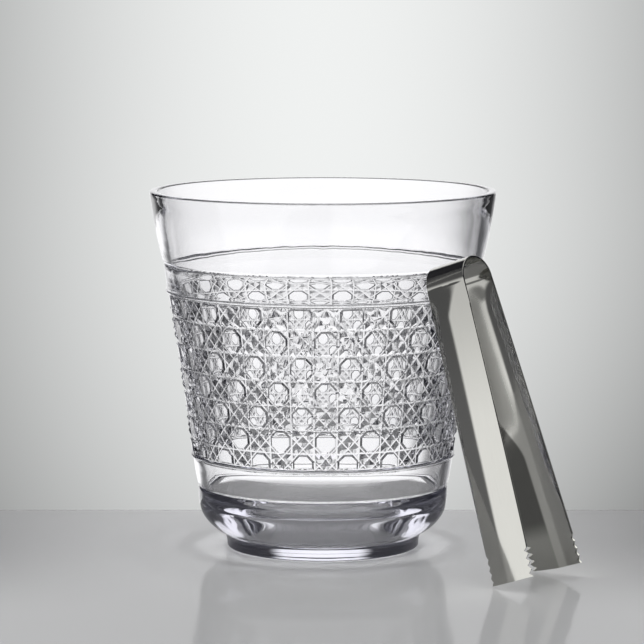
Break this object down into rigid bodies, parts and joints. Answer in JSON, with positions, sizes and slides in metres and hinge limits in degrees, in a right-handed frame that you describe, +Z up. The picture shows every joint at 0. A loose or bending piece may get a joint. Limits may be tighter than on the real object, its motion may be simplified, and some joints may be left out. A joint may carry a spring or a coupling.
{
  "type": "ice bucket",
  "caption": "Flared cut-crystal ice bucket with a smooth collar, an all-round octagon cut band and a thick solid base, with folded steel ice tongs leaning on its side.",
  "frame": {"origin": "centre of the bucket's foot, on the plane it stands on", "axes": "+Z up along the bucket's axis; -Y is the front, and the tongs lean on the front right side, towards +X and -Y"},
  "size_m": [0.2311, 0.2316, 0.197],
  "materials": {
    "cut_crystal": "clear polished lead-free crystal with a deep cut band",
    "polished_steel": "warm polished stainless steel with a soft lengthwise grain"
  },
  "bodies": {
    "bucket": {"crystal_bucket": "cut_crystal"},
    "tongs": {"tongs_bow": "polished_steel"},
    "front_arm": {"tongs_front_arm": "polished_steel"},
    "rear_arm": {"tongs_rear_arm": "polished_steel"}
  },
  "joints": [
    {"name": "tongs_lift", "type": "slide", "parent": "bucket", "child": "tongs", "axis": [0.4013, -0.4592, 0.7925], "range_m": [0, 0.15]},
    {"name": "front_squeeze", "type": "hinge", "parent": "tongs", "child": "front_arm", "pos_m": [0.06433, -0.09131, 0.15379], "axis": [0.7677, -0.5577, 0.3156], "range_deg": [0, 8], "stiffness_Nm_per_rad": 1.5},
    {"name": "rear_squeeze", "type": "hinge", "parent": "tongs", "child": "rear_arm", "pos_m": [0.07938, -0.0706, 0.15379], "axis": [-0.7677, 0.5577, -0.3156], "range_deg": [0, 8], "stiffness_Nm_per_rad": 1.5}
  ],
  "couplings": [
    {"joint": "rear_squeeze", "follows": "front_squeeze", "ratio": 1}
  ]
}
